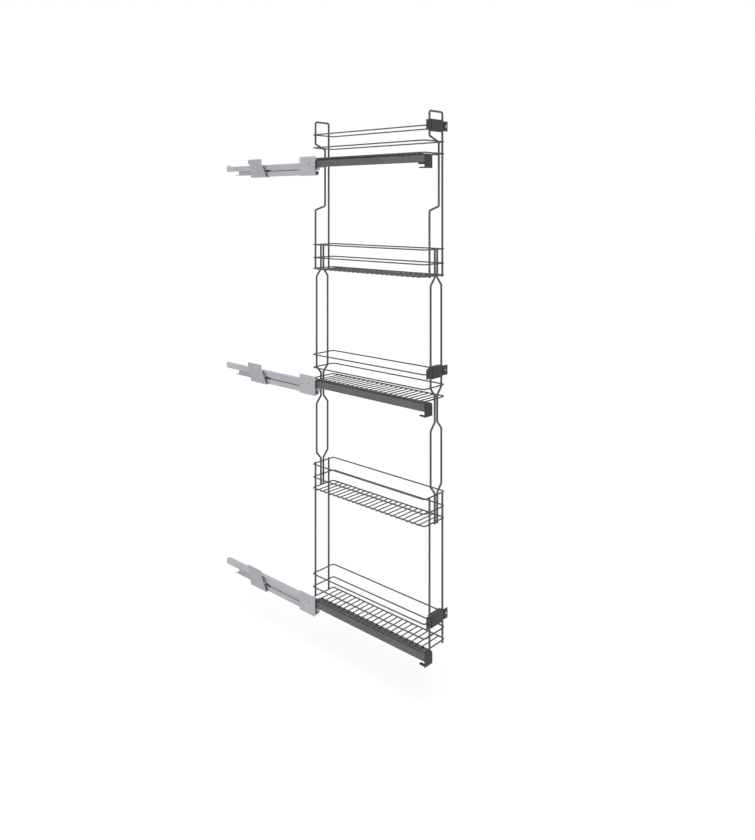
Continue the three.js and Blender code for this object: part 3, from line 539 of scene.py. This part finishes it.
def necked_wire(node, side):
    """A wire of the middle frame, which bends in at baskets 2, 3 and 4."""
    low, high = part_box(node)
    neck, waist = side * NECK_SPREAD, side * WAIST_SPREAD
    upper_neck = basket_z(2) - NECK_TAIL
    slide_top = basket_z(3) + SLIDE_NECK_ABOVE
    slide_foot = basket_z(3) - SLIDE_NECK_BELOW
    lower_neck = basket_z(4) + UPPER_RING_RISE + NECK_HEAD
    frame_wire(node, [
        (neck, high.z),
        (neck, upper_neck),
        (waist, upper_neck - NECK_FLARE),
        (waist, slide_top + NECK_FLARE),
        (neck, slide_top),
        (neck, slide_foot),
        (waist, slide_foot - NECK_FLARE),
        (waist, lower_neck + NECK_FLARE),
        (neck, lower_neck),
        (neck, low.z),
    ], NECK_RADIUS)


def post(node, side):
    """A straight post of the lower frame."""
    low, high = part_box(node)
    frame_wire(node, [(side * POST_SPREAD, high.z), (side * POST_SPREAD, low.z)])


def weld_beads():
    """Resistance welds where the frame wires touch the rings."""
    every_ring = (0.0, MIDDLE_RING_RISE, UPPER_RING_RISE)
    posts = {-POST_SPREAD: every_ring, POST_SPREAD: every_ring}
    necks = {-NECK_SPREAD: every_ring, NECK_SPREAD: every_ring}
    welds = {  # for each basket: the rings that each wire is welded to, by the wire's X
        1: {-POST_SPREAD: (UPPER_RING_RISE,), HOOP_JOG_X: (0.0,), POST_SPREAD: every_ring},
        2: {**posts, **necks},
        3: {
            -NECK_SPREAD: (0.0,),
            NECK_SPREAD: (0.0,),
            -WAIST_SPREAD: (MIDDLE_RING_RISE, UPPER_RING_RISE),
            WAIST_SPREAD: (MIDDLE_RING_RISE, UPPER_RING_RISE),
        },
        4: {**posts, **necks},
        5: posts,
    }
    bm = bmesh.new()
    for end, ring_y in (("front", FRONT_Y), ("rear", REAR_Y)):
        low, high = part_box(f"upper_{end}_hoop")
        frame_y = (low.y + high.y) / 2
        y = (frame_y * RING_RADIUS + ring_y * FRAME_RADIUS) / (RING_RADIUS + FRAME_RADIUS)
        for number, wires in welds.items():
            for x, rises in wires.items():
                for rise in rises:
                    bead(bm, Vector((UNIT_X + x, y, basket_z(number) + rise)), FRAME_BEAD)
    add_wires("weld_beads", bm)


for end in ("front", "rear"):
    hoop(f"upper_{end}_hoop")
    for name, side in (("near", -1), ("far", 1)):
        necked_wire(f"middle_{end}_{name}_wire", side)
        post(f"lower_{end}_{name}_post", side)
weld_beads()


# ---------------------------------------------------------------- slides

EASED_PARTS = (  # part, width of its eased edges, material, slot, body
    ("cabinet_rail", 0.00025, ZINC, "galvanised", "cabinet_side"),
    ("front_wall_bracket", 0.00025, ZINC, "galvanised", "cabinet_side"),
    ("rear_wall_bracket", 0.00025, ZINC_REAR_SHADED, "galvanised", "cabinet_side"),
    ("damper", 0.0003, GREY_PLASTIC, "damper_plastic", "cabinet_side"),
    ("carriage_member", 0.0002, ZINC_INNER, "galvanised", "pull_out_unit"),
    ("carriage_rail", 0.00025, RAIL_PAINT_LIT, "paint", "pull_out_unit"),
    ("end_plate", 0.0003, PLATE_PLASTIC, "dark_plastic", "pull_out_unit"),
    ("door_bracket", 0.0004, DARK_PLASTIC, "dark_plastic", "pull_out_unit"),
)
DRESSED_PARTS = (
    ("intermediate_rail", ZINC_INNER),
    ("outer_ball_cage", BRIGHT),
    ("inner_ball_cage", BRIGHT),
)


def door_screw(slide):
    """Head in the door bracket's far lobe."""
    low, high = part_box(f"{slide}_door_bracket")
    seat = Vector((DOOR_SCREW_X, low.y + DOOR_SCREW_SINK, (low.z + high.z) / 2))
    bm = bmesh.new()
    screw(bm, seat, FORWARD, DOOR_SCREW_RADIUS, DOOR_SCREW_HEIGHT)
    add_piece(f"{slide}_door_screw", finished(bm), BRIGHT, "pull_out_unit")


def buffer_cap(slide):
    """Round rubber stop on the channel's plate."""
    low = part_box(f"{slide}_cabinet_rail")[0]
    bm = bmesh.new()
    middle = Vector((BUFFER_X, low.y + BUFFER_SETBACK, low.z + BUFFER_RISE))
    cylinder(bm, BUFFER_SIDES, BUFFER_RADIUS, BUFFER_DEPTH, middle)
    bmesh.ops.bevel(
        bm, geom=bm.edges[:], offset=BUFFER_EASE, segments=2, affect="EDGES", clamp_overlap=True
    )
    add_piece(f"{slide}_buffer_cap", bm, RUBBER, "cabinet_side")


def guide_foot(slide):
    """Lower half of the damper's guide, down to the channel's floor and, behind it, the bracket's foot;
    its dark grey is painted shade in the gap by the rear bracket's slanted edge.
    """
    low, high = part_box(f"{slide}_damper")
    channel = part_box(f"{slide}_cabinet_rail")[0].z
    front, step, rear = low.y + GUIDE_FRONT, low.y + GUIDE_STEP, low.y + GUIDE_REAR
    floor, top = channel + GUIDE_FLOOR, channel + GUIDE_TOP
    outline = [(front, floor), (step, floor), (step, channel), (rear, channel), (rear, top), (front, top)]
    name, near = f"{slide}_guide_foot", low.x + GUIDE_INSET
    trim_block(name, outline, near, high.x, GUIDE_SHADE_PLASTIC, "cabinet_side")


def slot_shade_wedge(slide):
    """A dark wedge on the channel's web, over the mouth of its slot: painted shade in the slot's mouth,
    shaped as the head of a soft-close catch.
    """
    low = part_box(f"{slide}_damper")[0]
    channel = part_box(f"{slide}_cabinet_rail")[0].z
    tip, rear = low.y + SHADE_WEDGE_TIP, low.y + SHADE_WEDGE_REAR
    outline = [
        (tip, channel + SHADE_WEDGE_TIP_HEIGHTS[0]),
        (rear, channel + SHADE_WEDGE_REAR_HEIGHTS[0]),
        (rear, channel + SHADE_WEDGE_REAR_HEIGHTS[1]),
        (tip, channel + SHADE_WEDGE_TIP_HEIGHTS[1]),
    ]
    near, far = (low.x - standoff for standoff in SHADE_WEDGE_STANDOFF)
    trim_block(f"{slide}_slot_shade_wedge", outline, near, far, DARK_PLASTIC, "cabinet_side")


def wall_screws(slide):
    """Screws that fix the two wall brackets, their heads inside the cabinet."""
    bm = bmesh.new()
    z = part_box(f"{slide}_front_wall_bracket")[1].z - SCREW_DROP
    for y in (-SCREW_HALF, SCREW_HALF, REAR_HEAD_Y - SCREW_HALF, REAR_HEAD_Y + SCREW_HALF):
        screw(bm, Vector((BRACKET_SHEET, y, z)), FROM_WALL, WALL_SCREW_RADIUS, WALL_SCREW_HEIGHT)
        middle = Vector((BRACKET_SHEET / 2 + WALL_SHANK_SHIFT, y, z))
        cylinder(bm, SCREW_SIDES, WALL_SHANK_RADIUS, BRACKET_SHEET, middle)
    add_piece(f"{slide}_wall_screws", finished(bm), ZINC, "cabinet_side")


def rail_dimple_shades(slide):
    """Shallow dimples in the carriage rail's top, one under each floor wire, painted near black as painted
    shade under the wires.
    """
    low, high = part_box(f"{slide}_carriage_rail")
    bm = bmesh.new()
    for y in FLOOR_YS:
        if low.y + DIMPLE_MARGIN < y < high.y - DIMPLE_MARGIN:
            bead(bm, Vector((DIMPLE_X, y, high.z - RIB_RISE)), DIMPLE)
    add_piece(f"{slide}_rail_dimple_shades", finished(bm), DIMPLE_SHADE_PAINT, "pull_out_unit", smooth=True)


def rear_pad(slide):
    """Pad on the carriage rail's top, at its rear end."""
    low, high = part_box(f"{slide}_carriage_rail")
    rear, top = high.y - PAD_REAR_INSET, high.z - PAD_TOP_INSET
    front, foot = rear - PAD_LENGTH, top - RIB_RISE
    outline = [(front, foot), (rear, foot), (rear, top), (front, top)]
    near = low.x + PAD_INSET
    trim_block(f"{slide}_rear_pad", outline, near, near + PAD_WIDTH, RAIL_PAINT_LIT, "pull_out_unit")


for slide in SLIDES:
    for part, *looks in EASED_PARTS:
        eased(f"{slide}_{part}", *looks)
    for part, material in DRESSED_PARTS:
        dress(f"{slide}_{part}", material)
    door_screw(slide)
    buffer_cap(slide)
    guide_foot(slide)
    slot_shade_wedge(slide)
    wall_screws(slide)
    rail_dimple_shades(slide)
    rear_pad(slide)


# ---------------------------------------------------------------- floor, light and camera

STUDIO_Z = -0.16
STUDIO_SIZE = 30.0
STUDIO_TONE = 0.96
STUDIO_ROUGHNESS = 0.9
STUDIO_GLOW = 0.7  # how far the camera sees the floor as plain white
SKY = 0.70

# The camera was fitted to the photograph: its rows and its focal length are in pixels of the photograph.
PHOTO_HEIGHT = 840
FOCAL = 790.986
HORIZON_ROW = 205.122
SENSOR = 36.0  # in millimetres, along the picture's longer side, which is its height
CLIP_END = 100.0
TURN = math.radians(42.393)  # of the way it looks, from X towards Y
CAMERA_NEAR = 1.884263  # to the near side of the unit's middle
CAMERA_FRONT = 1.973059  # in front of the baskets' rear wires
CAMERA_RISE = 1.331326  # above the bottom basket's bottom ring


def seen_rays(tree):
    """1 for the rays that show a background: from the camera, or by way of gloss or glass."""
    path = tree.nodes.new("ShaderNodeLightPath")
    seen = path.outputs["Is Camera Ray"]
    for ray in ("Is Glossy Ray", "Is Transmission Ray"):
        either = tree.nodes.new("ShaderNodeMath")
        either.operation = "MAXIMUM"
        tree.links.new(seen, either.inputs[0])
        tree.links.new(path.outputs[ray], either.inputs[1])
        seen = either.outputs["Value"]
    return seen


def studio_floor():
    bm = bmesh.new()
    bmesh.ops.create_grid(bm, x_segments=1, y_segments=1, size=STUDIO_SIZE)
    bmesh.ops.translate(bm, vec=Vector((0, 0, STUDIO_Z)), verts=bm.verts)
    mesh = bpy.data.meshes.new("studio_floor")
    bm.to_mesh(mesh)
    bm.free()
    material, tree, shader = new_material("studio_floor")
    shader.inputs["Base Color"].default_value = (STUDIO_TONE, STUDIO_TONE, STUDIO_TONE, 1)
    shader.inputs["Roughness"].default_value = STUDIO_ROUGHNESS
    shader.inputs["Specular IOR Level"].default_value = 0.0
    glow = tree.nodes.new("ShaderNodeEmission")
    share = tree.nodes.new("ShaderNodeMapRange")
    share.inputs["To Max"].default_value = STUDIO_GLOW
    tree.links.new(seen_rays(tree), share.inputs["Value"])
    blend = tree.nodes.new("ShaderNodeMixShader")
    tree.links.new(share.outputs["Result"], blend.inputs["Fac"])
    tree.links.new(shader.outputs["BSDF"], blend.inputs[1])
    tree.links.new(glow.outputs["Emission"], blend.inputs[2])
    tree.links.new(blend.outputs["Shader"], tree.nodes["Material Output"].inputs["Surface"])
    mesh.materials.append(material)
    add_object("studio_floor", mesh)


def sun(name, source, strength, spread):
    """A distant lamp: source is the direction it shines from, spread its angle in degrees."""
    light = bpy.data.lights.new(name, "SUN")
    light.energy = strength
    light.angle = math.radians(spread)
    lamp = add_object(name, light)
    lamp.location = source
    lamp.rotation_euler = (-Vector(source)).to_track_quat("-Z", "Y").to_euler()


def world_light():
    world = bpy.data.worlds.new("studio")
    bpy.context.scene.world = world
    world.use_nodes = True
    tree = world.node_tree
    background = tree.nodes["Background"]
    background.inputs["Color"].default_value = (1, 1, 1, 1)
    strength = tree.nodes.new("ShaderNodeMapRange")
    strength.inputs["To Min"].default_value = SKY
    tree.links.new(seen_rays(tree), strength.inputs["Value"])
    tree.links.new(strength.outputs["Result"], background.inputs["Strength"])


def photo_camera():
    camera = bpy.data.cameras.new("camera")
    camera.sensor_width = SENSOR
    camera.lens = FOCAL / PHOTO_HEIGHT * SENSOR
    camera.shift_y = (HORIZON_ROW - PHOTO_HEIGHT / 2) / PHOTO_HEIGHT
    camera.clip_end = CLIP_END
    camera_object = add_object("camera", camera)
    bottom_ring = basket_z(BASKET_COUNT)
    camera_object.location = (UNIT_X - CAMERA_NEAR, REAR_Y - CAMERA_FRONT, bottom_ring + CAMERA_RISE)
    looking = Vector((math.cos(TURN), math.sin(TURN), 0))
    camera_object.rotation_euler = looking.to_track_quat("-Z", "Y").to_euler()
    bpy.context.scene.camera = camera_object


studio_floor()
world_light()
sun("key", source=(-1.2, -0.9, 2.9), strength=1.75, spread=50)
photo_camera()
bpy.context.scene.view_settings.view_transform = "Standard"
